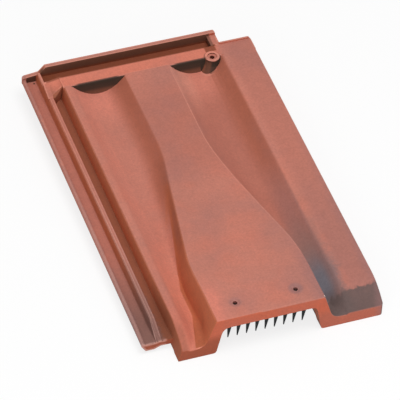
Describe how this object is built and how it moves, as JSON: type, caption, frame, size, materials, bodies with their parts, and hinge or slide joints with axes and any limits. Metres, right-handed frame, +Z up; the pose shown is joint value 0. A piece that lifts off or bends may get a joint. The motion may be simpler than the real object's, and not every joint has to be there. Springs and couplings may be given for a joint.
{
  "type": "roof ventilation tile",
  "caption": "Interlocking clay roof tile whose centre rib flares into a raised vent canopy at the foot, with a black plastic comb across the vent mouth.",
  "frame": {"origin": "centre of the bounding box at floor level, as the tile lies on its foot and its two batten nibs", "axes": "+X across the tile from the side lock to the cover rib, +Y from the foot to the head, +Z up; the plate rises by 1.78 degrees towards the head"},
  "size_m": [0.25, 0.423, 0.0471],
  "materials": {
    "clay": "matte fired clay, natural red",
    "comb": "matte black"
  },
  "bodies": {
    "root": {"tile_body": "clay", "vent_comb": "comb"}
  },
  "joints": []
}
